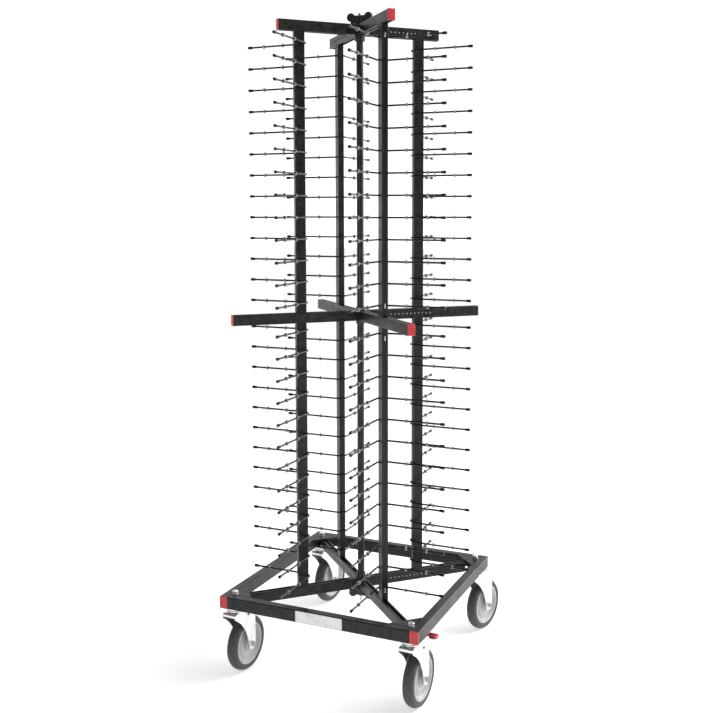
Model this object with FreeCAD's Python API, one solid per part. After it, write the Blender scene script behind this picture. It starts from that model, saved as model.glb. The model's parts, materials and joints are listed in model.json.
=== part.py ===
"""Mobile plate rack: a square castered base, three levels of crossed channel arms, a centre post,
and four pairs of sliding uprights whose V-shaped wires carry plates in four columns.

The shapes are drawn with the centre of the base at X = Y = 0, the floor at Z = 0, +Z up and the
label side facing -Y. The casters trail to the rear, so the saved parts are moved forward until the
origin is the middle of the whole footprint.
Corners: fl = front left (-X -Y), fr = front right, rl = rear left, rr = rear right.
"""
import FreeCAD, Part
import math
import os

V = FreeCAD.Vector

# --- driving dimensions -------------------------------------------------------------------
BASE_SIDE = 600.0          # outside of the square base
RAIL_WIDTH = 25.0
RAIL_HEIGHT = 35.0
RAIL_BOTTOM = 204.0        # underside of the base frame above the floor
TUBE_WALL = 2.0
RAIL_CORNER = 2.5          # outside corner radius of the rails

ARM_WIDTH = 20.0
ARM_HEIGHT = 30.0
SLOT_WIDTH = 8.0           # slot along an arm that the upright feet slide in
SLOT_START = 40.0          # slot's inner end, measured from the centre
HOLE_RADIUS = 2.75         # locking holes in one wall of each arm
HOLE_PITCH = 12.5
HOLE_FIRST = 55.0
HOLE_COUNT = 14
BASE_ARM_REACH = 340.0     # length of each arm from the centre, without its cap
MID_ARM_REACH = 375.0
TOP_ARM_REACH = 239.0
MID_ARM_BOTTOM = 1001.0
TOP_ARM_BOTTOM = 1810.0
CAP_THICKNESS = 3.0        # end cap's visible flange
CAP_INSERT = 8.0           # end cap's plug inside the tube

UPRIGHT_RADIUS = 180.0     # upright's axis from the centre at rest
POST_DEPTH = 30.0          # along the arm
POST_WIDTH = 18.0          # across the arm
POST_WALL = 1.5
SHOE_HEIGHT = 10.0
SLIDE_GAP = 0.3            # between a sliding foot and its arm
FOOT_LENGTH = 26.0
TONGUE_WIDTH = 7.2
HEAD_WIDTH = 15.0          # foot's head inside the channel
HEAD_HEIGHT = 8.0
RELEASE_SLOT = (4.0, 15.0) # width and height of the release opening near each post end

WIRE_RADIUS = 2.5
WIRE_LEG = 193.0           # from the meeting point of the two legs' lines to the tip
WIRE_BEND = 7.0            # bend radius of the wire's middle line
WIRE_PITCH = 60.0
WIRES_PER_POST = 13
LOWER_FIRST_WIRE = 262.0
UPPER_FIRST_WIRE = 1059.0
TIP_RADIUS = 4.5
RING_RADIUS = 5.5
RING_LENGTH = 5.0
RING_PLACES = (80.0, 141.0)  # along a leg, from the legs' meeting point

CENTRE_POST_RADIUS = 10.0
COLLAR_CLEARANCE = 0.1
ROD_RADIUS = 5.0
ROD_CLEARANCE = 0.4
ROD_BOTTOM = 162.0
ROD_TOP = 1872.0
KNOB_SPAN = 78.0
KNOB_BORE_CLEARANCE = 0.05
KNOB_FOOT_RADIUS = 9.8     # narrower than the arm that the knob bears on

CORNER_INSET = 32.0        # caster bolt's axis, in from each outer face of the base
GUSSET_LEG = 66.0
GUSSET_THICKNESS = 8.0
SPACER_RADIUS = 6.8
WASHER_RADIUS = 9.3        # clear of the rail top's flat face
WASHER_THICKNESS = 1.5
BOLT_FLATS = 8.0           # half the width across the bolt head's flats
BOLT_HEAD = 7.0
BOLT_RADIUS = 5.0
BOLT_CLEARANCE = 0.2
HEX_FACTOR = 1.1547        # a hexagon's corner radius over its flat radius

WHEEL_RADIUS = 78.0
WHEEL_WIDTH = 32.0
HUB_RADIUS = 60.0
CASTER_TRAIL = 48.0
FORK_INNER = 40.0          # clear width between the fork's legs
FORK_SHEET = 3.0
FORK_FRONT = 33.0          # from the swivel axis forwards
FORK_NOSE = 16.0           # radius round the axle
FORK_CORNER = 5.0
CROWN_TOP = 191.0
CROWN_SHEET = 4.0
CROWN_LIP = 10.0           # depth of the crown's front lip and side flanges
HEAD_RADIUS = 27.0
HEAD_GAP = 0.4             # between the fixed head and the turning crown
AXLE_RADIUS = 6.0
AXLE_CLEARANCE = 0.06
BRAKE_PIN_PLACE = (30.0, 172.0)  # Y from the swivel axis, and Z
BRAKE_PIN_RADIUS = 3.5
BRAKE_PIN_CLEARANCE = 0.05
PEDAL_START = 103.0
PEDAL_LENGTH = 27.0
PEDAL_HEIGHT = 7.0
PEDAL_SIDE = (-8.0, 25.0)  # the pedal stands out to one side of its lever
LEVER_WIDTH = 14.0
LEVER_DROOP = 4.0          # degrees below level
LABEL_SIZE = (140.0, 31.0, 0.8)
LABEL_CENTRE_X = 12.0

# --- derived places -----------------------------------------------------------------------
HALF = BASE_SIDE / 2
RAIL_TOP = RAIL_BOTTOM + RAIL_HEIGHT
ARM_TOPS = {"base": RAIL_BOTTOM + ARM_HEIGHT, "mid": MID_ARM_BOTTOM + ARM_HEIGHT,
            "top": TOP_ARM_BOTTOM + ARM_HEIGHT}
BOLT_PLACE = HALF - CORNER_INSET
DIAGONALS = {"fr": -45.0, "rr": 45.0, "rl": 135.0, "fl": 225.0}
CORNER_SIGNS = {"fl": (-1, -1), "fr": (1, -1), "rl": (-1, 1), "rr": (1, 1)}
# The fork's turn about its own swivel axis at rest, in degrees.
CASTER_TURNS = {"fl": -3.0, "fr": -3.0, "rl": -6.0, "rr": -14.0}
BRAKED = ("fl", "fr")
HOLES_ON_LEFT_WALL = {"fr": True, "rr": False, "rl": True, "fl": False}


# --- small helpers ------------------------------------------------------------------------
def save(name, solids):
    """Write one node: a single solid, or a group of separate solids."""
    shape = solids[0] if len(solids) == 1 else Part.makeCompound(solids)
    middle_x, middle_y = FOOTPRINT_MIDDLE
    moved(shape, -middle_x, -middle_y).exportStep("parts/%s.step" % name)


def box(x0, x1, y0, y1, z0, z1):
    return Part.makeBox(x1 - x0, y1 - y0, z1 - z0, V(x0, y0, z0))


def cylinder(radius, z0, z1, x=0.0, y=0.0):
    return Part.makeCylinder(radius, z1 - z0, V(x, y, z0))


def cross_cylinder(radius, x0, x1, y, z):
    """A cylinder that lies along X."""
    return Part.makeCylinder(radius, x1 - x0, V(x0, y, z), V(1, 0, 0))


def turned(shape, degrees, centre=V(0, 0, 0)):
    copy = shape.copy()
    copy.rotate(centre, V(0, 0, 1), degrees)
    return copy


def moved(shape, x=0.0, y=0.0, z=0.0):
    copy = shape.copy()
    copy.translate(V(x, y, z))
    return copy


def fused(solids):
    shape = solids[0].multiFuse(solids[1:]).removeSplitter()
    return shape.Solids[0] if len(shape.Solids) == 1 else shape


def edges_along(shape, direction):
    """Straight edges parallel to a direction."""
    found = []
    for edge in shape.Edges:
        if edge.Curve.TypeId != "Part::GeomLine":
            continue
        if abs(abs(edge.tangentAt(edge.FirstParameter).dot(direction)) - 1) < 1e-6:
            found.append(edge)
    return found


def rounded_box(x0, x1, y0, y1, z0, z1, radius, direction):
    block = box(x0, x1, y0, y1, z0, z1)
    return block.makeFillet(radius, edges_along(block, direction))


# --- base frame ---------------------------------------------------------------------------
def side_rail():
    """The rail along the +X side, full length and open at both ends for its caps."""
    outer = rounded_box(HALF - RAIL_WIDTH, HALF, -HALF + CAP_THICKNESS, HALF - CAP_THICKNESS,
                        RAIL_BOTTOM, RAIL_TOP, RAIL_CORNER, V(0, 1, 0))
    inner = box(HALF - RAIL_WIDTH + TUBE_WALL, HALF - TUBE_WALL, -HALF, HALF,
                RAIL_BOTTOM + TUBE_WALL, RAIL_TOP - TUBE_WALL)
    return outer.cut(inner)


def cross_rail():
    """The rail along the -Y side, butted between the two side rails."""
    reach = HALF - RAIL_WIDTH
    outer = rounded_box(-reach, reach, -HALF, -HALF + RAIL_WIDTH, RAIL_BOTTOM, RAIL_TOP,
                        RAIL_CORNER, V(1, 0, 0))
    inner = box(-reach, reach, -HALF + TUBE_WALL, -HALF + RAIL_WIDTH - TUBE_WALL,
                RAIL_BOTTOM + TUBE_WALL, RAIL_TOP - TUBE_WALL)
    return outer.cut(inner)


def end_cap(width, height, z_bottom, reach):
    """A plug that closes a tube along +X whose open end is at x = reach."""
    flange = box(reach, reach + CAP_THICKNESS, -width / 2, width / 2, z_bottom, z_bottom + height)
    flange = flange.makeFillet(CAP_THICKNESS * 0.45, [edge for edge in flange.Edges
                                                      if edge.CenterOfMass.x > reach + CAP_THICKNESS / 2])
    lip = TUBE_WALL + 0.1
    plug = box(reach - CAP_INSERT, reach, -width / 2 + lip, width / 2 - lip,
               z_bottom + lip, z_bottom + height - lip)
    return fused([flange, plug])


def rail_caps():
    """Caps on the four open ends of the two side rails."""
    cap = end_cap(RAIL_WIDTH, RAIL_HEIGHT, RAIL_BOTTOM, HALF - CAP_THICKNESS)
    side = HALF - RAIL_WIDTH / 2
    caps = []
    for direction in (-90.0, 90.0):
        for x in (-side, side):
            caps.append(moved(turned(cap, direction), x=x))
    return caps


def gusset():
    """Three-cornered plate inside the front right corner, between the rails and the arm's end."""
    corner = HALF - RAIL_WIDTH
    top = RAIL_TOP
    outline = Part.makePolygon([V(corner, -corner, 0), V(corner, -corner + GUSSET_LEG, 0),
                                V(corner - GUSSET_LEG, -corner, 0), V(corner, -corner, 0)])
    plate = Part.Face(outline).extrude(V(0, 0, GUSSET_THICKNESS))
    plate.translate(V(0, 0, top - GUSSET_THICKNESS))
    hole = cylinder(BOLT_RADIUS + BOLT_CLEARANCE, 0, RAIL_TOP * 2, BOLT_PLACE, -BOLT_PLACE)
    spacer = cylinder(SPACER_RADIUS, RAIL_BOTTOM, top - GUSSET_THICKNESS, BOLT_PLACE, -BOLT_PLACE)
    return fused([plate, spacer]).cut(hole)


def hexagon(flat_radius, z0, z1):
    """Hexagonal prism standing on Z."""
    radius = flat_radius * HEX_FACTOR
    corners = [V(radius * math.cos(math.radians(a)), radius * math.sin(math.radians(a)), z0)
               for a in range(0, 361, 60)]
    return Part.Face(Part.makePolygon(corners)).extrude(V(0, 0, z1 - z0))


def caster_bolt():
    """Hexagon bolt and washer through the gusset, the caster's head and the crown, with its nut."""
    washer_top = RAIL_TOP + WASHER_THICKNESS
    head_top = washer_top + BOLT_HEAD
    head = hexagon(BOLT_FLATS, washer_top, head_top)
    head = head.common(Part.makeCone(15.0, BOLT_FLATS - 0.2, BOLT_HEAD, V(0, 0, washer_top)))
    washer = cylinder(WASHER_RADIUS, RAIL_TOP, washer_top)
    shank = cylinder(BOLT_RADIUS, CROWN_TOP - 14.0, washer_top)
    nut = hexagon(BOLT_FLATS, CROWN_TOP - 13.0, CROWN_TOP - CROWN_SHEET - 1.0)
    return moved(fused([head, washer, shank, nut]), BOLT_PLACE, -BOLT_PLACE)


def caster_head():
    """The caster's fixed swivel head: a round flange over the grooved ball race."""
    bore = BOLT_RADIUS + BOLT_CLEARANCE
    low = CROWN_TOP + HEAD_GAP
    profile = [(bore, low), (HEAD_RADIUS - 3.0, low), (HEAD_RADIUS - 1.0, low + 2.0),
               (HEAD_RADIUS - 1.0, low + 4.0), (HEAD_RADIUS - 5.0, low + 5.0),
               (HEAD_RADIUS - 5.0, low + 7.0), (HEAD_RADIUS, low + 8.0), (HEAD_RADIUS, RAIL_BOTTOM),
               (bore, RAIL_BOTTOM)]
    points = [V(radius, 0, z) for radius, z in profile]
    face = Part.Face(Part.makePolygon(points + [points[0]]))
    return moved(face.revolve(V(0, 0, 0), V(0, 0, 1), 360), BOLT_PLACE, -BOLT_PLACE)


def four_corners(shape):
    """Copies of a front right shape, turned to all four corners."""
    return [turned(shape, quarter) for quarter in (0.0, 90.0, 180.0, 270.0)]


def label_plate():
    length, height, thickness = LABEL_SIZE
    middle = (RAIL_BOTTOM + RAIL_TOP) / 2
    plate = box(LABEL_CENTRE_X - length / 2, LABEL_CENTRE_X + length / 2,
                -HALF - thickness, -HALF, middle - height / 2, middle + height / 2)
    return plate.makeFillet(2.0, edges_along(plate, V(0, 1, 0)))


# --- crossed arms -------------------------------------------------------------------------
def slot_cutters(reach, bottom, top_slot, bottom_slot, both_ways):
    """Boxes that open an arm's slot, above and below as asked, for one arm or a through arm."""
    middle = bottom + ARM_HEIGHT / 2
    spans = [(SLOT_START, reach + 1)]
    if both_ways:
        spans.append((-reach - 1, -SLOT_START))
    cutters = []
    for start, end in spans:
        if top_slot:
            cutters.append(box(start, end, -SLOT_WIDTH / 2, SLOT_WIDTH / 2, middle,
                               bottom + ARM_HEIGHT + 1))
        if bottom_slot:
            cutters.append(box(start, end, -SLOT_WIDTH / 2, SLOT_WIDTH / 2, bottom - 1, middle))
    return cutters


def hole_cutters(bottom, on_left, sign):
    """Locking holes through one wall. sign -1 gives the arm that points along -X."""
    z = bottom + ARM_HEIGHT / 2
    side = 1 if on_left else -1
    start = V(0, side * sign * (ARM_WIDTH / 2 + 1), z)
    cutters = []
    for number in range(HOLE_COUNT):
        place = V(sign * (HOLE_FIRST + number * HOLE_PITCH), start.y, z)
        cutters.append(Part.makeCylinder(HOLE_RADIUS, TUBE_WALL + 2, place,
                                         V(0, -side * sign, 0)))
    return cutters


def channel(x0, x1, bottom):
    """A rectangular tube along X with rounded long edges."""
    outer = rounded_box(x0, x1, -ARM_WIDTH / 2, ARM_WIDTH / 2, bottom, bottom + ARM_HEIGHT,
                        2.0, V(1, 0, 0))
    inner = box(x0 - 1, x1 + 1, -ARM_WIDTH / 2 + TUBE_WALL, ARM_WIDTH / 2 - TUBE_WALL,
                bottom + TUBE_WALL, bottom + ARM_HEIGHT - TUBE_WALL)
    return outer.cut(inner)


def arm_cross(level, reach, bottom, top_slot, bottom_slot):
    """One through arm from front left to rear right, and two half arms welded to its sides."""
    rod_hole = cylinder(ROD_RADIUS + ROD_CLEARANCE, bottom - 1, bottom + ARM_HEIGHT + 1)
    through = channel(-reach, reach, bottom)
    cutters = slot_cutters(reach, bottom, top_slot, bottom_slot, True)
    cutters += hole_cutters(bottom, HOLES_ON_LEFT_WALL["rr"], 1)
    cutters += hole_cutters(bottom, HOLES_ON_LEFT_WALL["fl"], -1)
    cutters.append(rod_hole)
    solids = [turned(through.cut(Part.makeCompound(cutters)), DIAGONALS["rr"])]
    for corner in ("fr", "rl"):
        half = channel(ARM_WIDTH / 2, reach, bottom)
        cutters = slot_cutters(reach, bottom, top_slot, bottom_slot, False)
        cutters += hole_cutters(bottom, HOLES_ON_LEFT_WALL[corner], 1)
        solids.append(turned(half.cut(Part.makeCompound(cutters)), DIAGONALS[corner]))
    save(level + "_cross_arms", [one.Solids[0] for one in solids])


def arm_caps(corners):
    """End caps of the middle and top arms at the given corners."""
    caps = []
    for reach, bottom in ((MID_ARM_REACH, MID_ARM_BOTTOM), (TOP_ARM_REACH, TOP_ARM_BOTTOM)):
        cap = end_cap(ARM_WIDTH, ARM_HEIGHT, bottom, reach)
        caps += [turned(cap, DIAGONALS[corner]) for corner in corners]
    return caps


# --- centre post, tie rod and knobs --------------------------------------------------------
def centre_tube(z0, z1):
    return cylinder(CENTRE_POST_RADIUS, z0, z1).cut(cylinder(CENTRE_POST_RADIUS - TUBE_WALL,
                                                             z0 - 1, z1 + 1))


def collar(radius, z0, z1):
    """A plastic collar round the centre tube."""
    ring = cylinder(radius, z0, z1)
    ring = ring.makeFillet(1.5, [edge for edge in ring.Edges if edge.Curve.TypeId == "Part::GeomCircle"])
    return ring.cut(cylinder(CENTRE_POST_RADIUS + COLLAR_CLEARANCE, z0 - 1, z1 + 1))


def collars():
    return [collar(13.5, ARM_TOPS["base"], ARM_TOPS["base"] + 14),
            collar(13.0, MID_ARM_BOTTOM - 9, MID_ARM_BOTTOM),
            collar(13.0, ARM_TOPS["mid"], ARM_TOPS["mid"] + 11),
            collar(15.0, TOP_ARM_BOTTOM - 15, TOP_ARM_BOTTOM)]


def wing_knob(seat, up):
    """Two-lobed hand knob. seat is the face it bears on, up is +1 above it or -1 below."""
    foot_ring = cylinder(KNOB_FOOT_RADIUS, 0.0, 4.0)
    hub = Part.makeCone(15.0, 12.0, 13.0, V(0, 0, 3.0))
    lobe_x = KNOB_SPAN / 2 - 12.0
    lobe = Part.makeCylinder(12.0, 11.0, V(lobe_x, -5.5, 22.0), V(0, 1, 0))
    web = box(0, lobe_x, -4.0, 4.0, 5.0, 26.0)
    wing = lobe.makeFillet(3.0, [edge for edge in lobe.Edges
                                 if edge.Curve.TypeId == "Part::GeomCircle"])
    knob = fused([foot_ring, hub, wing, web, turned(wing, 180), turned(web, 180), cylinder(10.0, 15.0, 24.0)])
    knob = knob.cut(cylinder(ROD_RADIUS + KNOB_BORE_CLEARANCE, -1.0, 40.0))
    if up < 0:
        knob.rotate(V(0, 0, 0), V(1, 0, 0), 180)
    knob.translate(V(0, 0, seat + up * SLIDE_GAP))
    return knob


# --- uprights -----------------------------------------------------------------------------
def foot(seat, up):
    """Shoe on the arm, tongue through its slot and head inside the channel.

    seat is the arm's face, up is +1 when the upright stands above it and -1 when it hangs below.
    """
    half = FOOT_LENGTH / 2
    face = seat + up * SLIDE_GAP
    lip = seat - up * (TUBE_WALL + SLIDE_GAP)
    spans = ((half + 1.0, POST_WIDTH / 2 - 0.5, face, face + up * SHOE_HEIGHT),
             (half, TONGUE_WIDTH / 2, lip - up * 1.0, face + up * 1.0),
             (half, HEAD_WIDTH / 2, lip - up * HEAD_HEIGHT, lip))
    solids = [box(-along, along, -across, across, min(z0, z1), max(z0, z1))
              for along, across, z0, z1 in spans]
    return solids


def upright(lower_seat, upper_seat):
    """Rectangular post with a foot at each end, standing on X = 0 and facing the centre at -X."""
    bottom = lower_seat + SLIDE_GAP + SHOE_HEIGHT / 2
    top = upper_seat - SLIDE_GAP - SHOE_HEIGHT / 2
    tube = rounded_box(-POST_DEPTH / 2, POST_DEPTH / 2, -POST_WIDTH / 2, POST_WIDTH / 2,
                       bottom, top, 2.0, V(0, 0, 1))
    hollow = box(-POST_DEPTH / 2 + POST_WALL, POST_DEPTH / 2 - POST_WALL,
                 -POST_WIDTH / 2 + POST_WALL, POST_WIDTH / 2 - POST_WALL, bottom - 1, top + 1)
    width, height = RELEASE_SLOT
    tube = tube.cut(hollow)
    for z in (bottom + 24.0, top - 24.0):
        tube = tube.cut(box(POST_DEPTH / 2 - POST_WALL - 0.5, POST_DEPTH, -width / 2, width / 2,
                            z - height / 2, z + height / 2))
    return fused([tube] + foot(lower_seat, 1) + foot(upper_seat, -1))


def wire_path():
    """Middle line of one wire: tip, leg, bend, flat across the post, bend, leg, tip."""
    half_flat = POST_WIDTH / 2 + 1.0
    apex = V(-POST_DEPTH / 2 - WIRE_RADIUS - half_flat, 0, 0)
    corner = apex + V(half_flat, half_flat, 0)
    leg = V(math.cos(math.pi / 4), math.sin(math.pi / 4), 0)
    tip = apex + leg * WIRE_LEG
    setback = WIRE_BEND * math.tan(math.radians(22.5))
    flat_end = corner - V(0, setback, 0)
    leg_start = corner + leg * setback
    middle = V(flat_end.x + WIRE_BEND * (1 - math.cos(math.radians(22.5))),
               flat_end.y + WIRE_BEND * math.sin(math.radians(22.5)), 0)

    def mirror(point):
        return V(point.x, -point.y, 0)

    edges = [Part.makeLine(mirror(tip), mirror(leg_start)),
             Part.Arc(mirror(leg_start), mirror(middle), mirror(flat_end)).toShape(),
             Part.makeLine(mirror(flat_end), flat_end),
             Part.Arc(flat_end, middle, leg_start).toShape(),
             Part.makeLine(leg_start, tip)]
    return Part.Wire(edges), apex, leg, tip


def plate_wire():
    """One V-shaped wire with its moulded ball tips."""
    path, apex, leg, tip = wire_path()
    start = V(tip.x, -tip.y, 0)
    direction = V(-leg.x, leg.y, 0)
    profile = Part.Wire(Part.Circle(start, direction, WIRE_RADIUS).toShape())
    rod = path.makePipeShell([profile], True, True)
    solids = [rod]
    for sign in (-1, 1):
        along = V(leg.x, sign * leg.y, 0)
        end = V(tip.x, sign * tip.y, 0) - along * TIP_RADIUS
        solids.append(Part.makeSphere(TIP_RADIUS, end))
        solids.append(Part.makeCylinder(TIP_RADIUS - 0.6, 9.0, end - along * 9.0, along))
    return fused(solids)


def wire_rings():
    """Grip rings pushed on to the two legs of one wire."""
    path, apex, leg, tip = wire_path()
    rings = []
    for sign in (-1, 1):
        along = V(leg.x, sign * leg.y, 0)
        for place in RING_PLACES:
            start = apex + along * (place - RING_LENGTH / 2)
            ring = Part.makeCylinder(RING_RADIUS, RING_LENGTH, start, along)
            ring = ring.makeChamfer(1.2, [edge for edge in ring.Edges
                                          if edge.Curve.TypeId == "Part::GeomCircle"])
            bore = Part.makeCylinder(WIRE_RADIUS, RING_LENGTH * 3, start - along * RING_LENGTH, along)
            rings.append(ring.cut(bore).Solids[0])
    return rings


def uprights():
    """Eight sliding uprights, a lower and an upper one on each diagonal."""
    levels = {"lower": (ARM_TOPS["base"], MID_ARM_BOTTOM, LOWER_FIRST_WIRE),
              "upper": (ARM_TOPS["mid"], TOP_ARM_BOTTOM, UPPER_FIRST_WIRE)}
    wire = plate_wire()
    rings = wire_rings()
    for level, (lower_seat, upper_seat, first) in levels.items():
        post = upright(lower_seat, upper_seat)
        heights = [first + number * WIRE_PITCH for number in range(WIRES_PER_POST)]
        wires = [moved(wire, z=z) for z in heights]
        grips = [moved(ring, z=z) for z in heights for ring in rings]
        for corner, angle in DIAGONALS.items():
            for name, solids in (("post", [post]), ("wires", wires), ("rings", grips)):
                placed = [turned(moved(one, x=UPRIGHT_RADIUS), angle) for one in solids]
                save("%s_%s_%s" % (level, name, corner), placed)


# --- casters ------------------------------------------------------------------------------
def fork_outline():
    """The fork seen from the side, in YZ: wide under the crown and narrow round the axle."""
    trail = CASTER_TRAIL
    nose = FORK_NOSE
    axle_z = WHEEL_RADIUS
    rear = trail + nose
    corner = 9.0
    front_low = V(0, -FORK_FRONT, CROWN_TOP - CROWN_LIP - 5.0)
    neck = V(0, trail - nose, axle_z + 4.0)
    bow = V(0, 3.0, CROWN_TOP - 46.0)
    edges = [Part.makeLine(V(0, -FORK_FRONT, CROWN_TOP), V(0, rear - corner, CROWN_TOP)),
             Part.Arc(V(0, rear - corner, CROWN_TOP),
                      V(0, rear - corner * 0.293, CROWN_TOP - corner * 0.293),
                      V(0, rear, CROWN_TOP - corner)).toShape(),
             Part.makeLine(V(0, rear, CROWN_TOP - corner), V(0, rear, axle_z)),
             Part.Arc(V(0, rear, axle_z), V(0, trail, axle_z - nose), V(0, trail - nose, axle_z)).toShape(),
             Part.makeLine(V(0, trail - nose, axle_z), neck),
             Part.Arc(neck, bow, front_low).toShape(),
             Part.makeLine(front_low, V(0, -FORK_FRONT, CROWN_TOP))]
    return Part.Face(Part.Wire(edges))


def fork():
    """Pressed fork: crown, front lip, two legs and axle bosses, with its swivel axis on Z."""
    half = FORK_INNER / 2
    side = half + FORK_SHEET
    block = rounded_box(-side, side, -FORK_FRONT, 200, 0, CROWN_TOP, FORK_CORNER, V(0, 1, 0))
    block = block.makeFillet(FORK_CORNER, [edge for edge in edges_along(block, V(0, 0, 1))
                                           if edge.CenterOfMass.y < -FORK_FRONT + 1])
    body = block.common(moved(fork_outline().extrude(V(4 * side, 0, 0)), x=-2 * side))
    body = body.cut(box(-half, half, -FORK_FRONT + FORK_SHEET, 200, 0, CROWN_TOP - CROWN_SHEET))
    body = body.cut(box(-half, half, -200, 0, 0, CROWN_TOP - CROWN_LIP))
    bosses = []
    for sign in (-1, 1):
        inner = sign * (WHEEL_WIDTH / 2 + 1.5)
        outer = sign * (side + 1.0)
        bosses.append(cross_cylinder(11.0, min(inner, outer), max(inner, outer), CASTER_TRAIL,
                                     WHEEL_RADIUS))
    pin_y, pin_z = BRAKE_PIN_PLACE
    holes = [cross_cylinder(AXLE_RADIUS + BOLT_CLEARANCE, -50, 50, CASTER_TRAIL, WHEEL_RADIUS),
             cross_cylinder(BRAKE_PIN_RADIUS + BRAKE_PIN_CLEARANCE, -50, 50, pin_y, pin_z),
             cylinder(BOLT_RADIUS + 1, CROWN_TOP - 20, CROWN_TOP + 1)]
    return fused([body] + bosses).cut(Part.makeCompound(holes)).Solids[0]


def axle():
    """Axle bolt with a domed head on one side and a nut on the other."""
    face = FORK_INNER / 2 + FORK_SHEET + 1.0
    shaft = cross_cylinder(AXLE_RADIUS, -face - 6, face + 2, 0, 0)
    head = cross_cylinder(8.5, face, face + 4.5, 0, 0)
    head = head.makeFillet(2.5, [edge for edge in head.Edges if edge.CenterOfMass.x > face + 4.0])
    nut = hexagon(8.5, face, face + 6.0)
    nut.rotate(V(0, 0, 0), V(0, 1, 0), -90)
    return moved(fused([shaft, head, nut]), y=CASTER_TRAIL, z=WHEEL_RADIUS)


def revolved(profile):
    """Turn a closed outline of (x, radius) points about the axle line along X."""
    points = [V(x, 0, radius) for x, radius in profile]
    face = Part.Face(Part.makePolygon(points + [points[0]]))
    return face.revolve(V(0, 0, 0), V(1, 0, 0), 360)


def tyre():
    """Tyre with a rounded tread, sitting on the hub's rim."""
    half = WHEEL_WIDTH / 2
    inner = HUB_RADIUS
    shoulder = WHEEL_RADIUS - 6.0
    edges = [Part.makeLine(V(-half + 2, 0, inner), V(half - 2, 0, inner)),
             Part.makeLine(V(half - 2, 0, inner), V(half, 0, inner + 4)),
             Part.makeLine(V(half, 0, inner + 4), V(half - 1.5, 0, shoulder)),
             Part.Arc(V(half - 1.5, 0, shoulder), V(0, 0, WHEEL_RADIUS), V(-half + 1.5, 0, shoulder)).toShape(),
             Part.makeLine(V(-half + 1.5, 0, shoulder), V(-half, 0, inner + 4)),
             Part.makeLine(V(-half, 0, inner + 4), V(-half + 2, 0, inner))]
    ring = Part.Face(Part.Wire(edges)).revolve(V(0, 0, 0), V(1, 0, 0), 360)
    return moved(ring, y=CASTER_TRAIL, z=WHEEL_RADIUS)


def hub():
    """Plastic hub: raised rim, groove, shallow web and a long boss on the axle."""
    bore = AXLE_RADIUS + AXLE_CLEARANCE
    boss = WHEEL_WIDTH / 2 + 1.2
    rim = HUB_RADIUS - 7.0
    side = [(boss, bore), (boss, 15.0), (boss - 1.5, 17.0), (9.5, 19.0), (9.5, rim - 6.0),
            (12.0, rim - 3.0), (12.0, rim - 1.5), (14.5, rim), (14.5, HUB_RADIUS - 1.0),
            (13.5, HUB_RADIUS)]
    mirrored = [(-x, radius) for x, radius in reversed(side)]
    return moved(revolved(side + mirrored), y=CASTER_TRAIL, z=WHEEL_RADIUS)


def brake():
    """Brake on the trailing side: a steel lever on its cross pin, with a pad over the tyre, and a
    moulded foot pedal on the lever's outer end."""
    pin_y, pin_z = BRAKE_PIN_PLACE
    pin_reach = FORK_INNER / 2 + FORK_SHEET + 2.0
    half = LEVER_WIDTH / 2
    plate = box(-half, half, pin_y - 4.0, PEDAL_START + 14.0, pin_z - 1.5, pin_z + 1.5)
    pad = box(-half, half, pin_y + 16.0, pin_y + 30.0, pin_z - 6.0, pin_z)
    barrel = cross_cylinder(6.0, -16.0, 16.0, pin_y, pin_z)
    pin = cross_cylinder(BRAKE_PIN_RADIUS, -pin_reach, pin_reach, pin_y, pin_z)
    arm = fused([plate, barrel])
    arm.rotate(V(0, pin_y, pin_z), V(1, 0, 0), -LEVER_DROOP)
    lever = fused([arm, pad, pin])
    low, high = PEDAL_SIDE
    top = pin_z + PEDAL_HEIGHT / 2
    tread = rounded_box(low, high, PEDAL_START, PEDAL_START + PEDAL_LENGTH, top - PEDAL_HEIGHT, top,
                        8.0, V(0, 0, 1))
    tread = tread.makeFillet(2.0, [edge for edge in tread.Edges
                                   if abs(edge.CenterOfMass.z - top) < 0.01])
    tread.rotate(V(0, pin_y, pin_z), V(1, 0, 0), -LEVER_DROOP)
    return [lever, tread.cut(lever)]


def casters():
    """Four swivel casters; the two at the front carry a brake."""
    sub_parts = {"fork": [fork()], "axle": [axle()], "hub": [hub()], "tyre": [tyre()]}
    for corner in CORNER_SIGNS:
        wanted = dict(sub_parts)
        if corner in BRAKED:
            wanted["brake"] = brake()
        for name, solids in wanted.items():
            save("caster_%s_%s" % (name, corner), [placed_at_caster(one, corner) for one in solids])


def placed_at_caster(shape, corner):
    sign_x, sign_y = CORNER_SIGNS[corner]
    return moved(turned(shape, CASTER_TURNS[corner]), sign_x * BOLT_PLACE, sign_y * BOLT_PLACE)


def footprint_middle():
    """Middle of the whole rack in X and Y: between the wires' tips on the left and the rear right
    tyre, and between the label's face and the rear tyres."""
    tyres = [placed_at_caster(tyre(), corner).optimalBoundingBox(False, False) for corner in ("rl", "rr")]
    apex_radius = UPRIGHT_RADIUS - POST_DEPTH / 2 - WIRE_RADIUS - POST_WIDTH / 2 - 1.0
    left = apex_radius * math.cos(math.pi / 4) + WIRE_LEG
    front = HALF + LABEL_SIZE[2]
    return (tyres[1].XMax - left) / 2, (max(one.YMax for one in tyres) - front) / 2


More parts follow.
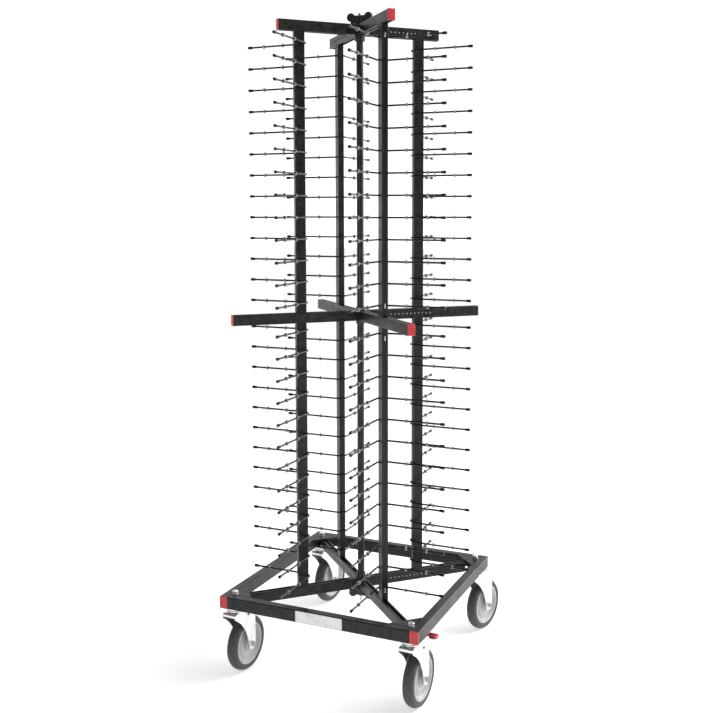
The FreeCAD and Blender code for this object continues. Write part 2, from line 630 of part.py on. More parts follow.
# --- build --------------------------------------------------------------------------------
def build():
    os.makedirs("parts", exist_ok=True)
    save("side_rails", [side_rail(), turned(side_rail(), 180)])
    save("cross_rails", [cross_rail(), turned(cross_rail(), 180)])
    save("rail_end_caps", rail_caps())
    save("corner_gussets", four_corners(gusset()))
    save("caster_bolts", four_corners(caster_bolt()))
    save("caster_heads", four_corners(caster_head()))
    save("label_plate", [label_plate()])
    arm_cross("base", BASE_ARM_REACH, RAIL_BOTTOM, True, False)
    arm_cross("mid", MID_ARM_REACH, MID_ARM_BOTTOM, True, True)
    arm_cross("top", TOP_ARM_REACH, TOP_ARM_BOTTOM, False, True)
    save("arm_end_caps", arm_caps(("fl", "fr")))
    save("arm_end_plugs", arm_caps(("rl", "rr")))
    save("centre_post_lower", [centre_tube(ARM_TOPS["base"], MID_ARM_BOTTOM)])
    save("centre_post_upper", [centre_tube(ARM_TOPS["mid"], TOP_ARM_BOTTOM)])
    save("post_collars", collars())
    save("tie_rod", [cylinder(ROD_RADIUS, ROD_BOTTOM, ROD_TOP)])
    save("top_knob", [wing_knob(ARM_TOPS["top"], 1)])
    save("bottom_knob", [wing_knob(RAIL_BOTTOM, -1)])
    uprights()
    casters()


FOOTPRINT_MIDDLE = footprint_middle()
build()
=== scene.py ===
import bpy
import bmesh
import json
import math
import random
from mathutils import Matrix, Vector


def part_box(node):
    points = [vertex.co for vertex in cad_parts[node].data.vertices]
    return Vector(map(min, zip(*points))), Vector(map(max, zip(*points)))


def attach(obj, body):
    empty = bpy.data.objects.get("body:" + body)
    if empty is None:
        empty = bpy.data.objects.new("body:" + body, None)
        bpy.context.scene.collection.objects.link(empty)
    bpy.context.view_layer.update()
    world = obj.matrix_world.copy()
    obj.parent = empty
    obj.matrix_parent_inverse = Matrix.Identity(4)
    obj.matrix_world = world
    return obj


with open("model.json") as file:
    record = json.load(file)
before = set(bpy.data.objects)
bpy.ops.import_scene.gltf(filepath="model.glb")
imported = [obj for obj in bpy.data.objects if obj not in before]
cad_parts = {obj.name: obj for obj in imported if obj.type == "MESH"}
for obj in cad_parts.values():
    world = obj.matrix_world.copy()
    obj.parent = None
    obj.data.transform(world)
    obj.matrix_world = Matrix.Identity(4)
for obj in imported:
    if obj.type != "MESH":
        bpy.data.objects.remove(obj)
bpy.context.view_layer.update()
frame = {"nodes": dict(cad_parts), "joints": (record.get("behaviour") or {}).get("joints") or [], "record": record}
random.seed(7)

NODES = frame["nodes"]
JOINTS = {joint["name"]: joint for joint in frame["joints"]}
CORNERS = ("fl", "fr", "rl", "rr")
BRAKED = ("fl", "fr")
MM = 0.001

rod_low, rod_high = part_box("tie_rod")
CENTRE = Vector(((rod_low.x + rod_high.x) / 2, (rod_low.y + rod_high.y) / 2, 0))


# --- node helpers -------------------------------------------------------------------------
class Shader:
    """Short way to build one Principled material."""

    def __init__(self, name):
        self.material = bpy.data.materials.new(name)
        self.material.use_nodes = True
        self.tree = self.material.node_tree
        self.bsdf = self.tree.nodes["Principled BSDF"]
        self.object = self.tree.nodes.new("ShaderNodeTexCoord").outputs["Object"]

    def node(self, kind, **inputs):
        made = self.tree.nodes.new(kind)
        for key, value in inputs.items():
            made.inputs[key].default_value = value
        return made

    def link(self, source, target):
        self.tree.links.new(source, target)

    def set(self, **values):
        for key, value in values.items():
            self.bsdf.inputs[key.replace("_", " ")].default_value = value

    def noise(self, scale, detail=3.0, roughness=0.55, vector=None):
        made = self.node("ShaderNodeTexNoise", Scale=scale, Detail=detail, Roughness=roughness)
        self.link(vector or self.object, made.inputs["Vector"])
        return made.outputs["Fac"]

    def cells(self, scale):
        made = self.node("ShaderNodeTexVoronoi", Scale=scale)
        self.link(self.object, made.inputs["Vector"])
        return made.outputs["Color"]

    def spread(self, value, low, high, start=0.3, end=0.7):
        made = self.tree.nodes.new("ShaderNodeMapRange")
        self.link(value, made.inputs["Value"])
        for key, number in (("From Min", start), ("From Max", end), ("To Min", low), ("To Max", high)):
            made.inputs[key].default_value = number
        return made.outputs["Result"]

    def ramp(self, value, stops):
        made = self.tree.nodes.new("ShaderNodeValToRGB")
        elements = made.color_ramp.elements
        while len(elements) < len(stops):
            elements.new(0.5)
        for element, (place, colour) in zip(elements, stops):
            element.position = place
            element.color = (*colour, 1.0)
        self.link(value, made.inputs["Fac"])
        return made.outputs["Color"]

    def math(self, operation, a, b):
        made = self.tree.nodes.new("ShaderNodeMath")
        made.operation = operation
        for socket, value in zip(made.inputs, (a, b)):
            if isinstance(value, (int, float)):
                socket.default_value = value
            else:
                self.link(value, socket)
        return made.outputs["Value"]

    def mix(self, factor, first, second):
        made = self.tree.nodes.new("ShaderNodeMix")
        made.data_type = "RGBA"
        self.link(factor, made.inputs["Factor"])
        for socket, value in ((made.inputs["A"], first), (made.inputs["B"], second)):
            if isinstance(value, tuple):
                socket.default_value = (*value, 1.0)
            else:
                self.link(value, socket)
        return made.outputs["Result"]

    def edges(self):
        """1 on convex edges, 0 elsewhere."""
        geometry = self.tree.nodes.new("ShaderNodeNewGeometry")
        return self.spread(geometry.outputs["Pointiness"], 0.0, 1.0, 0.52, 0.60)

    def bump(self, height, strength, distance):
        made = self.node("ShaderNodeBump", Strength=strength, Distance=distance)
        self.link(height, made.inputs["Height"])
        self.link(made.outputs["Normal"], self.bsdf.inputs["Normal"])

    def colour(self, value):
        self.link(value, self.bsdf.inputs["Base Color"])

    def roughness(self, value):
        self.link(value, self.bsdf.inputs["Roughness"])


def powder_coat(name, dark, light, rough, peel):
    """Semi-gloss powder coat: orange peel, cloudy gloss, and lighter rubbed edges."""
    s = Shader(name)
    s.set(IOR=1.5, Specular_IOR_Level=0.32)
    cloud = s.noise(9.0, 4.0)
    tint = s.ramp(cloud, [(0.3, dark), (0.7, light)])
    worn = s.math("MULTIPLY", s.edges(), s.spread(s.noise(60.0, 5.0), 0.0, 0.8, 0.35, 0.75))
    s.colour(s.mix(worn, tint, tuple(c * 3.0 + 0.02 for c in light)))
    smear = s.spread(s.noise(22.0, 6.0, 0.7), rough - 0.07, rough + 0.09)
    s.roughness(s.math("ADD", smear, s.math("MULTIPLY", worn, 0.15)))
    grain = s.math("ADD", s.noise(430.0, 2.0), s.math("MULTIPLY", s.noise(1500.0, 1.0), 0.35))
    s.bump(grain, peel, 0.0004)
    return s.material


def plastic(name, dark, light, rough, grain_scale=1400.0, strength=0.2):
    """Moulded plastic: fine spark-eroded grain and a slightly cloudy colour."""
    s = Shader(name)
    s.set(IOR=1.46)
    s.colour(s.ramp(s.noise(35.0, 4.0), [(0.32, dark), (0.68, light)]))
    s.roughness(s.spread(s.noise(120.0, 5.0, 0.65), rough - 0.08, rough + 0.08))
    s.bump(s.math("ADD", s.noise(grain_scale, 2.0), s.noise(260.0, 2.0)), strength, 0.0002)
    return s.material


def zinc(name, dark, light, rough, grain=0.25):
    """Bright zinc plate on pressed steel: faint spangle, drawing marks and handling stains."""
    s = Shader(name)
    s.set(Metallic=1.0)
    stain = s.noise(28.0, 6.0, 0.65)
    spangle = s.spread(s.cells(190.0), 0.0, 1.0, 0.0, 1.0)
    plated = s.ramp(stain, [(0.28, dark), (0.62, light)])
    s.colour(s.mix(s.math("MULTIPLY", spangle, 0.12), plated, (0.62, 0.64, 0.66)))
    s.roughness(s.math("ADD", s.spread(stain, rough + 0.1, rough - 0.05), s.math("MULTIPLY", spangle, 0.07)))
    s.bump(s.math("ADD", s.noise(330.0, 3.0), s.math("MULTIPLY", s.noise(1200.0, 2.0), 0.4)), grain, 0.00025)
    return s.material


def two_tone(name, axis, limit, above, below, metal_below, rough):
    """One moulded or pressed finish beyond a plane and another before it."""
    s = Shader(name)
    split = s.tree.nodes.new("ShaderNodeSeparateXYZ")
    s.link(s.object, split.inputs["Vector"])
    beyond = s.math("GREATER_THAN", split.outputs[axis], limit)
    cloud = s.noise(40.0, 4.0)
    first = s.ramp(cloud, [(0.3, tuple(c * 0.85 for c in below)), (0.7, below)])
    second = s.ramp(cloud, [(0.3, tuple(c * 0.85 for c in above)), (0.7, above)])
    s.colour(s.mix(beyond, first, second))
    s.link(s.math("MULTIPLY", s.math("SUBTRACT", 1.0, beyond), metal_below), s.bsdf.inputs["Metallic"])
    s.roughness(s.spread(s.noise(130.0, 5.0, 0.65), rough - 0.08, rough + 0.08))
    s.bump(s.math("ADD", s.noise(1200.0, 2.0), s.noise(260.0, 2.0)), 0.2, 0.0002)
    return s.material


def soft_rings(name):
    """Milky soft plastic that lets some light through."""
    s = Shader(name)
    s.set(IOR=1.44, Transmission_Weight=0.30)
    s.colour(s.ramp(s.noise(55.0, 3.0), [(0.3, (0.30, 0.31, 0.31)), (0.7, (0.42, 0.43, 0.43))]))
    s.roughness(s.spread(s.noise(240.0, 4.0), 0.26, 0.44))
    s.bump(s.noise(900.0, 2.0), 0.15, 0.0002)
    return s.material


def rubber(name):
    """Dark grey tyre rubber with a dusty bloom and fine moulding grain."""
    s = Shader(name)
    s.set(IOR=1.5)
    dust = s.noise(42.0, 6.0, 0.7)
    s.colour(s.ramp(dust, [(0.3, (0.036, 0.038, 0.037)), (0.55, (0.052, 0.054, 0.053)),
                           (0.8, (0.085, 0.087, 0.085))]))
    s.roughness(s.spread(dust, 0.52, 0.74))
    s.bump(s.math("ADD", s.noise(800.0, 3.0), s.noise(200.0, 3.0)), 0.3, 0.0003)
    return s.material


def label_film(name):
    """White film label: a thin printed border and plain rules, without lettering."""
    s = Shader(name)
    low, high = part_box("label_plate")
    split = s.tree.nodes.new("ShaderNodeSeparateXYZ")
    s.link(s.object, split.inputs["Vector"])
    x, z = split.outputs["X"], split.outputs["Z"]

    def band(value, first, last):
        above = s.math("GREATER_THAN", value, first)
        return s.math("MULTIPLY", above, s.math("LESS_THAN", value, last))

    def area(x0, x1, z0, z1):
        return s.math("MULTIPLY", band(x, x0, x1), band(z, z0, z1))

    edge = 2.2 * MM
    line = 0.7 * MM
    outer = area(low.x + edge, high.x - edge, low.z + edge, high.z - edge)
    inner = area(low.x + edge + line, high.x - edge - line, low.z + edge + line, high.z - edge - line)
    ink = s.math("SUBTRACT", outer, inner)
    left = low.x + 44 * MM
    for number in range(3):
        z0 = low.z + (8.0 + number * 5.2) * MM
        right = high.x - (30 + 16 * (number % 2)) * MM
        ink = s.math("ADD", ink, area(left, right, z0, z0 + 0.8 * MM))
    for number in range(6):
        start = low.x + (32 + number * 4.2) * MM
        ink = s.math("ADD", ink, area(start, start + 3.2 * MM, high.z - 8.5 * MM, high.z - 5.0 * MM))
    paper = s.ramp(s.noise(30.0, 4.0), [(0.3, (0.84, 0.85, 0.86)), (0.7, (0.90, 0.905, 0.91))])
    s.colour(s.mix(s.math("MULTIPLY", ink, 0.5), paper, (0.30, 0.33, 0.38)))
    s.roughness(s.spread(s.noise(90.0, 4.0), 0.22, 0.36))
    s.bump(s.noise(500.0, 2.0), 0.05, 0.0002)
    return s.material


BLACK = (0.0028, 0.0029, 0.0034)
BLACK_2 = (0.0048, 0.0050, 0.0058)
LOOKS = {
    "black_frame": powder_coat("black_frame", BLACK, BLACK_2, 0.30, 0.22),
    "black_post": powder_coat("black_post", BLACK, BLACK_2, 0.27, 0.18),
    "wire_coat": powder_coat("wire_coat", (0.0030, 0.0030, 0.0034), (0.0052, 0.0052, 0.0057), 0.22, 0.14),
    "red_plastic": plastic("red_plastic", (0.52, 0.026, 0.030), (0.62, 0.036, 0.040), 0.38),
    "brake_red": plastic("brake_red", (0.52, 0.050, 0.060), (0.62, 0.062, 0.072), 0.36),
    "black_plastic": plastic("black_plastic", (0.012, 0.012, 0.0125), (0.022, 0.022, 0.023), 0.40),
    "zinc": zinc("zinc", (0.70, 0.71, 0.72), (0.90, 0.90, 0.90), 0.26),
    "rod_steel": zinc("rod_steel", (0.60, 0.61, 0.62), (0.80, 0.80, 0.80), 0.24),
    "label_white": label_film("label_white"),
    "grip_ring": soft_rings("grip_ring"),
    "hub_grey": plastic("hub_grey", (0.40, 0.415, 0.41), (0.47, 0.485, 0.48), 0.38, 900.0),
    "tyre_grey": rubber("tyre_grey"),
}
RED = (0.60, 0.040, 0.046)
PEDAL_DEPTH = 27.5 * MM    # the pedal reaches this far in from the rear of its brake
for corner in BRAKED:
    low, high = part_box("caster_brake_%s" % corner)
    LOOKS["brake_%s" % corner] = two_tone("brake_%s" % corner, "Y", high.y - PEDAL_DEPTH, RED,
                                          (0.16, 0.165, 0.17), 0.8, 0.36)
LOOKS["rail_caps"] = two_tone("rail_caps", "Y", CENTRE.y, (0.02, 0.02, 0.021), RED, 0.0, 0.38)
LOOKS["dark_bolt"] = zinc("dark_bolt", (0.20, 0.205, 0.21), (0.34, 0.345, 0.35), 0.34)
WELD = powder_coat("weld_coated", (0.0035, 0.0035, 0.004), (0.006, 0.006, 0.0065), 0.34, 0.5)
OWN_LOOKS = {"rail_end_caps": "rail_caps", "caster_brake_fl": "brake_fl", "caster_brake_fr": "brake_fr"}
OWN_LOOKS.update({"caster_axle_%s" % corner: "dark_bolt" for corner in CORNERS})

for part in frame["record"]["subparts"]:
    node = NODES[part["node"]]
    look = LOOKS[OWN_LOOKS.get(part["node"], part["material_slot"])]
    if not node.material_slots:
        node.data.materials.append(look)
    for holder in node.material_slots:
        holder.material = look


# --- mesh helpers -------------------------------------------------------------------------
def piece(name, mesh, look, body):
    made = bpy.data.objects.new(name, mesh)
    bpy.context.scene.collection.objects.link(made)
    mesh.materials.append(look)
    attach(made, body)
    return made


def finish_mesh(bm, name, smooth=True):
    bmesh.ops.remove_doubles(bm, verts=bm.verts, dist=1e-7)
    bmesh.ops.recalc_face_normals(bm, faces=bm.faces)
    mesh = bpy.data.meshes.new(name)
    bm.to_mesh(mesh)
    bm.free()
    for face in mesh.polygons:
        face.use_smooth = smooth
    if smooth:
        mesh.set_sharp_from_angle(angle=math.radians(38))
    return mesh


def lathe_into(bm, outline, origin, axis, steps=96):
    """Turn a closed outline of (along, radius) points about an axis."""
    axis = Vector(axis).normalized()
    side = axis.orthogonal().normalized()
    up = axis.cross(side)
    rings = []
    for step in range(steps):
        angle = 2 * math.pi * step / steps
        out = side * math.cos(angle) + up * math.sin(angle)
        rings.append([bm.verts.new(Vector(origin) + axis * along + out * radius)
                      for along, radius in outline])
    for step in range(steps):
        near, far = rings[step], rings[(step + 1) % steps]
        for k in range(len(outline)):
            nxt = (k + 1) % len(outline)
            bm.faces.new((near[k], near[nxt], far[nxt], far[k]))


def blob_into(bm, centre, across, along, height, matrix, seed=0.0):
    """One small rounded weld ripple, slightly uneven."""
    rows, columns = 5, 8
    top = bm.verts.new(matrix @ (centre + Vector((0, 0, height))))
    base = bm.verts.new(matrix @ (centre - Vector((0, 0, height))))
    rings = []
    for row in range(1, rows):
        polar = math.pi * row / rows
        ring = []
        for column in range(columns):
            turn = 2 * math.pi * column / columns
            uneven = 1.0 + 0.10 * math.sin(3 * turn + seed) + 0.06 * math.sin(5 * turn + 2 * seed)
            local = Vector((across * math.cos(turn), along * math.sin(turn), 0)) * math.sin(polar) * uneven
            ring.append(bm.verts.new(matrix @ (centre + local + Vector((0, 0, height * math.cos(polar))))))
        rings.append(ring)
    for column in range(columns):
        nxt = (column + 1) % columns
        bm.faces.new((top, rings[0][column], rings[0][nxt]))
        bm.faces.new((base, rings[-1][nxt], rings[-1][column]))
        for row in range(len(rings) - 1):
            bm.faces.new((rings[row][column], rings[row + 1][column], rings[row + 1][nxt], rings[row][nxt]))


def bead_into(bm, start, end, radius):
    """A weld bead: a row of overlapping ripples from start to end."""
    start, end = Vector(start), Vector(end)
    run = end - start
    count = max(2, int(run.length / (radius * 0.9)))
    turn = run.to_track_quat("Y", "Z").to_matrix().to_4x4()
    for number in range(count + 1):
        place = start + run * (number / count)
        matrix = Matrix.Translation(place) @ turn
        wide = radius * random.uniform(0.88, 1.08)
        blob_into(bm, Vector(), wide, radius * 0.95, radius * random.uniform(0.7, 0.85), matrix, number * 1.7)


def slab_into(bm, size, matrix, bevel):
    """A bar with rounded edges."""
    made = bmesh.ops.create_cube(bm, size=1.0, matrix=matrix @ Matrix.Diagonal((*size, 1.0)))
    edges = list({edge for vert in made["verts"] for edge in vert.link_edges})
    bmesh.ops.bevel(bm, geom=edges, offset=bevel, segments=3, profile=0.5, affect="EDGES")


# --- uprights: weld dabs, release tabs and foot welds ----------------------------------------
LEVELS = ("lower", "upper")
WIRE_COUNT = 13
WIRE_PITCH = 60 * MM
WIRE_TIP_RADIUS = 4.5 * MM        # the lowest wire's middle is this far above its node's box
POST_INNER_FACE = -15.9 * MM      # just inside the face that the wires are welded to
SHOE_FACE = 10.3 * MM             # top of a shoe, from the end of its post's node
RELEASE_TAB_RISE = 29.3 * MM      # from the shoe's top to the middle of the release opening
FOOT_WELD_RISE = 5.0 * MM
FOOT_WELD_REACH = (13.0 * MM, 7.5 * MM)    # half lengths of the long and the short beads
FOOT_WELD_FACE = (14.3 * MM, 8.7 * MM)     # their distance from the post's axis
FOOT_BEAD = 1.1 * MM


def weld_dabs(turn, first_wire):
    """Two dabs above and two below each wire, where it crosses the post."""
    bm = bmesh.new()
    for number in range(WIRE_COUNT):
        z = first_wire + number * WIRE_PITCH
        for side in (-1, 1):
            for up in (-1, 1):
                centre = Vector((POST_INNER_FACE, side * random.uniform(4.6, 5.6) * MM, z + up * 2.0 * MM))
                blob_into(bm, centre, 1.5 * MM, 2.6 * MM, 1.25 * MM, turn, number + side)
    return finish_mesh(bm, "weld_dabs")


def release_tabs(turn, heights):
    """A steel tab with a raised grip in each release opening."""
    bm = bmesh.new()
    for z in heights:
        slab_into(bm, (1.6 * MM, 3.0 * MM, 13.4 * MM), turn @ Matrix.Translation((13.9 * MM, 0, z)), 0.6 * MM)
        slab_into(bm, (1.2 * MM, 2.2 * MM, 4.0 * MM), turn @ Matrix.Translation((14.9 * MM, 0, z)), 0.4 * MM)
    return finish_mesh(bm, "release_tabs")


def foot_welds(turn, heights):
    """A bead round the post where it meets each shoe."""
    bm = bmesh.new()
    long_reach, short_reach = FOOT_WELD_REACH
    end_face, side_face = FOOT_WELD_FACE
    for z in heights:
        for side in (-1, 1):
            bead_into(bm, turn @ Vector((-long_reach, side * side_face, z)),
                      turn @ Vector((long_reach, side * side_face, z)), FOOT_BEAD)
            bead_into(bm, turn @ Vector((side * end_face, -short_reach, z)),
                      turn @ Vector((side * end_face, short_reach, z)), FOOT_BEAD)
    return finish_mesh(bm, "foot_welds")


def dress_upright(level, corner):
    """Everything that is added to one upright, in a frame whose X points away from the centre."""
    end = "%s_%s" % (level, corner)
    body = "%s_upright_%s" % (level, corner)
    low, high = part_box("%s_post_%s" % (level, corner))
    middle = Vector(((low.x + high.x) / 2, (low.y + high.y) / 2, 0))
    outward = (middle - CENTRE).normalized()
    turn = Matrix.Translation(middle) @ Matrix.Rotation(math.atan2(outward.y, outward.x), 4, "Z")
    first_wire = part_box("%s_wires_%s" % (level, corner))[0].z + WIRE_TIP_RADIUS
    seat_low = low.z + SHOE_FACE
    seat_high = high.z - SHOE_FACE
    tab_heights = (seat_low + RELEASE_TAB_RISE, seat_high - RELEASE_TAB_RISE)
    weld_heights = (seat_low + FOOT_WELD_RISE, seat_high - FOOT_WELD_RISE)
    piece("weld_dabs_" + end, weld_dabs(turn, first_wire), WELD, body)
    piece("release_tabs_" + end, release_tabs(turn, tab_heights), LOOKS["zinc"], body)
    piece("foot_welds_" + end, foot_welds(turn, weld_heights), WELD, body)


for level in LEVELS:
    for corner in CORNERS:
        dress_upright(level, corner)


# --- base frame and arms: weld beads ----------------------------------------------------------
RAIL_WIDTH = 25 * MM
RAIL_CAP = 3 * MM
ARM_HALF_WIDTH = 10 * MM
ARM_LEVELS = ("base_cross_arms", "mid_cross_arms", "top_cross_arms")


def frame_welds():
    """A bead up the inner corner of each rail joint, and one along its underside."""
    rail_low, rail_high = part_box("side_rails")
    inner_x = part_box("cross_rails")[1].x
    inner_y = (rail_high.y - rail_low.y) / 2 + RAIL_CAP - RAIL_WIDTH
    inset = 0.5 * MM
    bm = bmesh.new()
    for sx in (-1, 1):
        for sy in (-1, 1):
            corner = Vector((CENTRE.x + sx * inner_x, CENTRE.y + sy * inner_y, 0))
            bead_into(bm, corner + Vector((-sx * inset, -sy * inset, rail_low.z + 8 * MM)),
                      corner + Vector((-sx * inset, -sy * inset, rail_high.z - 2 * MM)), 1.9 * MM)
            edge = corner + Vector((0, sy * 2 * MM, rail_low.z + 0.6 * MM))
            bead_into(bm, edge, edge + Vector((0, sy * 21 * MM, 0)), 1.6 * MM)
    return finish_mesh(bm, "frame_welds")


def arm_crossing_welds():
    """Upright beads in the four inner corners where the arms cross."""
    diagonal = ARM_HALF_WIDTH * math.sqrt(2)
    bm = bmesh.new()
    for node in ARM_LEVELS:
        low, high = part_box(node)
        for sx, sy in ((1, 1), (1, -1), (-1, 1), (-1, -1)):
            foot = Vector((CENTRE.x + sx * diagonal, CENTRE.y, 0))
            if sx == sy:
                foot = Vector((CENTRE.x, CENTRE.y + sy * diagonal, 0))
            bead_into(bm, foot + Vector((0, 0, low.z + 3 * MM)),
                      foot + Vector((0, 0, high.z - 2 * MM)), 2.0 * MM)
    return finish_mesh(bm, "arm_crossing_welds")


piece("frame_welds", frame_welds(), WELD, "chassis")
piece("arm_crossing_welds", arm_crossing_welds(), WELD, "chassis")


# --- pale strips behind the locking holes: painted light seen through the holes ---------------
def pale_plastic_painted_light():
    s = Shader("pale_strip_painted_light")
    # pale grey: painted light, standing in for the light seen through the locking holes
    s.colour(s.ramp(s.noise(70.0, 4.0), [(0.3, (0.62, 0.63, 0.62)), (0.7, (0.78, 0.79, 0.78))]))
    s.roughness(s.spread(s.noise(150.0, 4.0), 0.35, 0.5))
    s.bump(s.noise(800.0, 2.0), 0.1, 0.0002)
    return s.material


def painted_light_strips():
    """One pale strip inside the holed wall of each level's rear right arm: painted light that shows through the
    locking holes.
    """
    size = (182 * MM, 0.4 * MM, 7.4 * MM)
    place = Matrix.Translation((134 * MM, -7.77 * MM, 0))
    hole_height = 15 * MM
    bm = bmesh.new()
    for node in ARM_LEVELS:
        foot = Matrix.Translation((CENTRE.x, CENTRE.y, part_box(node)[0].z + hole_height))
        slab_into(bm, size, foot @ Matrix.Rotation(math.radians(45), 4, "Z") @ place, 0.1 * MM)
    return finish_mesh(bm, "painted_light_strips")


# the pale strips are painted light behind the locking holes
piece("painted_light_strips", painted_light_strips(), pale_plastic_painted_light(), "chassis")


# --- casters ----------------------------------------------------------------------------------
# All in millimetres, measured along the axle and out from it.
HUB_WEB = 9.5
HUB_RIM = 14.5
WEB_RINGS = ((21.0, 22.6, 0.9), (25.2, 26.0, 0.6), (36.0, 36.8, 0.6), (39.0, 39.8, 0.6), (41.5, 42.3, 0.6),
             (44.0, 45.2, 1.0))           # inner radius, outer radius, height above the web
RIM_RING = ((-0.4, 54.0), (0.5, 54.5), (0.5, 57.3), (-0.4, 57.8))
SIDEWALL_RINGS = ((62.4, 15.20), (66.6, 15.51))   # radius, and the tyre's face there
SIDEWALL_RAISE = 0.2
WASHER_SECTION = ((23.9, 6.3), (25.1, 6.3), (25.1, 11.2), (24.7, 11.9), (23.9, 11.9))


def ring_into(bm, side, section, origin, axis, steps):
    """A turned ring on one side of the wheel. section is in millimetres."""
    lathe_into(bm, [(side * along * MM, radius * MM) for along, radius in section], origin, axis, steps)


def hub_ridges(hub, axis):
    bm = bmesh.new()
    for side in (-1, 1):
        for inner, outer, height in WEB_RINGS:
            section = ((HUB_WEB - 0.3, inner), (HUB_WEB + height, inner + 0.2),
                       (HUB_WEB + height, outer - 0.2), (HUB_WEB - 0.3, outer))
            ring_into(bm, side, section, hub, axis, 72)
        ring_into(bm, side, [(HUB_RIM + along, radius) for along, radius in RIM_RING], hub, axis, 96)
    return finish_mesh(bm, "hub_ridges")


def tyre_sidewall(hub, axis):
    bm = bmesh.new()
    for side in (-1, 1):
        for radius, face in SIDEWALL_RINGS:
            raised = face + SIDEWALL_RAISE
            section = ((face - 0.5, radius - 0.7), (raised, radius - 0.3), (raised, radius + 0.3),
                       (face - 0.5, radius + 0.7))
            ring_into(bm, side, section, hub, axis, 96)
    return finish_mesh(bm, "tyre_sidewall")


def axle_washers(hub, axis):
    bm = bmesh.new()
    for side in (-1, 1):
        ring_into(bm, side, WASHER_SECTION, hub, axis, 48)
    return finish_mesh(bm, "axle_washers")


for corner in CORNERS:
    spin = JOINTS["wheel_spin_%s" % corner]
    hub = Vector(spin["pos_m"])
    axis = Vector(spin["axis"]).normalized()
    wheel = "caster_wheel_%s" % corner
    piece("hub_ridges_%s" % corner, hub_ridges(hub, axis), LOOKS["hub_grey"], wheel)
    piece("tyre_sidewall_%s" % corner, tyre_sidewall(hub, axis), LOOKS["tyre_grey"], wheel)
    fork = "caster_fork_%s" % corner
    piece("axle_washers_%s" % corner, axle_washers(hub, axis), LOOKS["zinc"], fork)


# --- brakes: pedal ribs -----------------------------------------------------------------------
PEDAL_DROOP = math.radians(-4.0)
RIB_COUNT = 4
RIB_SIZE = (22 * MM, 2.0 * MM, 1.8 * MM)
FIRST_RIB = Vector((8.5, 78.5, 3.5)) * MM    # from the brake's pin, along the drooping pedal
RIB_PITCH = 5.4 * MM


def pedal_ribs(press):
    """Grip ribs across the pedal, placed from the brake's own joint."""
    across = -Vector(press["axis"]).normalized()
    back = Vector((0, 0, 1)).cross(across)
    facing = Matrix((across, back, (0, 0, 1))).transposed().to_4x4()
    local = Matrix.Translation(Vector(press["pos_m"])) @ facing @ Matrix.Rotation(PEDAL_DROOP, 4, "X")
    bm = bmesh.new()
    for number in range(RIB_COUNT):
        place = FIRST_RIB + Vector((0, number * RIB_PITCH, 0))
        slab_into(bm, RIB_SIZE, local @ Matrix.Translation(place), 0.7 * MM)
    return finish_mesh(bm, "pedal_ribs")


for corner in BRAKED:
    ribs = pedal_ribs(JOINTS["brake_press_%s" % corner])
    piece("pedal_ribs_%s" % corner, ribs, LOOKS["brake_red"], "caster_brake_%s" % corner)


# --- tie rod ends -----------------------------------------------------------------------------
def rod_threads():
    """Ten thread turns at each end of the tie rod."""
    crest, root, core, pitch = 5.02 * MM, 4.5 * MM, 0.5 * MM, 1.5 * MM
    bm = bmesh.new()
    for end, sign in ((rod_high.z, -1), (rod_low.z, 1)):
        outline = [(0.0, core), (0.0, 4.2 * MM)]
        for number in range(10):
            place = 0.8 * MM + number * pitch
            outline += [(sign * place, crest), (sign * (place + pitch / 2), root)]
        outline.append((outline[-1][0], core))
        lathe_into(bm, outline, Vector((CENTRE.x, CENTRE.y, end)), (0, 0, 1), 40)
    return finish_mesh(bm, "rod_threads")


piece("rod_threads", rod_threads(), LOOKS["rod_steel"], "chassis")

# --- stage ----------------------------------------------------------------------------------
FLOOR_HALF = 30.0
FLOOR_GLOW = 0.50
# Brightness of the studio against direction: two end points first, then points between them.
FRONT_TO_BACK = ((0.0, 0.02), (1.0, 0.75), (0.30, 0.04), (0.60, 0.45))
LEFT_TO_RIGHT = ((0.0, 0.42), (1.0, 0.55), (0.55, 0.36), (0.75, 0.85))
DOWN_TO_UP = ((0.0, 1.3), (1.0, 0.30), (0.42, 1.15), (0.55, 0.80), (0.80, 0.50))
BACK_GAIN = 6.0
BASE_LIGHT = 0.20


def stage_floor():
    s = Shader("studio_floor")
    s.colour(s.ramp(s.noise(0.7, 2.0), [(0.3, (0.86, 0.862, 0.865)), (0.7, (0.88, 0.882, 0.885))]))
    s.set(Roughness=0.6, Emission_Color=(1.0, 1.0, 1.0, 1.0), Emission_Strength=FLOOR_GLOW)
    mesh = bpy.data.meshes.new("studio_floor")
    half = FLOOR_HALF
    mesh.from_pydata([(-half, -half, 0), (half, -half, 0), (half, half, 0), (-half, half, 0)], [],
                     [(0, 1, 2, 3)])
    floor = bpy.data.objects.new("studio_floor", mesh)
    mesh.materials.append(s.material)
    bpy.context.scene.collection.objects.link(floor)


def area_light(name, place, target, size, watts):
    data = bpy.data.lights.new(name, "AREA")
    data.shape = "RECTANGLE"
    data.size, data.size_y = size
    data.energy = watts
    light = bpy.data.objects.new(name, data)
    light.location = place
    light.rotation_euler = (Vector(target) - Vector(place)).to_track_quat("-Z", "Y").to_euler()
    bpy.context.scene.collection.objects.link(light)


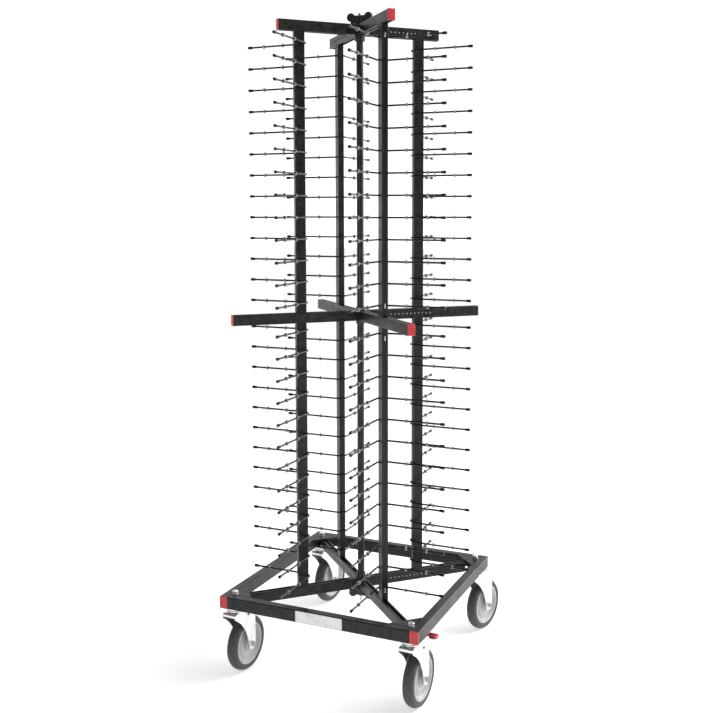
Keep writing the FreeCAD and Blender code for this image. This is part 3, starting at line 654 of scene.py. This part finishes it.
def studio_world():
    """White studio: brightest behind the object and to its right, dim at the front and overhead."""
    world = bpy.data.worlds.new("studio")
    bpy.context.scene.world = world
    world.use_nodes = True
    tree = world.node_tree
    background = tree.nodes["Background"]
    place = tree.nodes.new("ShaderNodeTexCoord")
    split = tree.nodes.new("ShaderNodeSeparateXYZ")
    tree.links.new(place.outputs["Generated"], split.inputs["Vector"])

    def ramp(value, low, high, stops):
        span = tree.nodes.new("ShaderNodeMapRange")
        span.inputs["From Min"].default_value = low
        span.inputs["From Max"].default_value = high
        tree.links.new(value, span.inputs["Value"])
        made = tree.nodes.new("ShaderNodeFloatCurve")
        points = made.mapping.curves[0].points
        for number, (position, height) in enumerate(stops):
            if number < len(points):
                points[number].location = (position, height)
            else:
                points.new(position, height)
        made.mapping.update()
        tree.links.new(span.outputs["Result"], made.inputs["Value"])
        return made.outputs["Value"]

    def combine(operation, first, second):
        made = tree.nodes.new("ShaderNodeMath")
        made.operation = operation
        for socket, value in zip(made.inputs, (first, second)):
            if isinstance(value, float):
                socket.default_value = value
            else:
                tree.links.new(value, socket)
        return made.outputs["Value"]

    depth = ramp(split.outputs["Y"], -1.0, 1.0, FRONT_TO_BACK)
    right = ramp(split.outputs["X"], -1.0, 1.0, LEFT_TO_RIGHT)
    height = ramp(split.outputs["Z"], -1.0, 1.0, DOWN_TO_UP)
    behind = combine("MULTIPLY", depth, right)
    level = combine("MULTIPLY", combine("ADD", combine("MULTIPLY", behind, BACK_GAIN), BASE_LIGHT), height)
    tree.links.new(level, background.inputs["Strength"])
    background.inputs["Color"].default_value = (1.0, 1.0, 1.0, 1.0)


stage_floor()
studio_world()
area_light("key", (3.0, 1.2, 4.2), (0, 0, 0.5), (2.2, 2.2), 125.0)
area_light("low_front", (0.2, -3.4, 0.9), (0, 0, 0.15), (1.2, 0.7), 16.0)
area_light("back_right", (2.6, 3.4, 1.4), (0, 0, 0.7), (2.4, 2.4), 60.0)

# --- camera ---------------------------------------------------------------------------------
camera_data = bpy.data.cameras.new("camera")
camera_data.sensor_width = 36.0
camera_data.lens = 48.34
camera_data.shift_x = -0.0425
camera_data.shift_y = -0.0795
camera_data.clip_end = 200.0
camera = bpy.data.objects.new("camera", camera_data)
camera.location = (CENTRE.x + 1.16292, CENTRE.y - 2.50720, 1.31274)
camera.rotation_euler = (math.radians(84.79), 0.0, math.radians(23.30))
bpy.context.scene.collection.objects.link(camera)
bpy.context.scene.camera = camera
bpy.context.scene.view_settings.view_transform = "Standard"
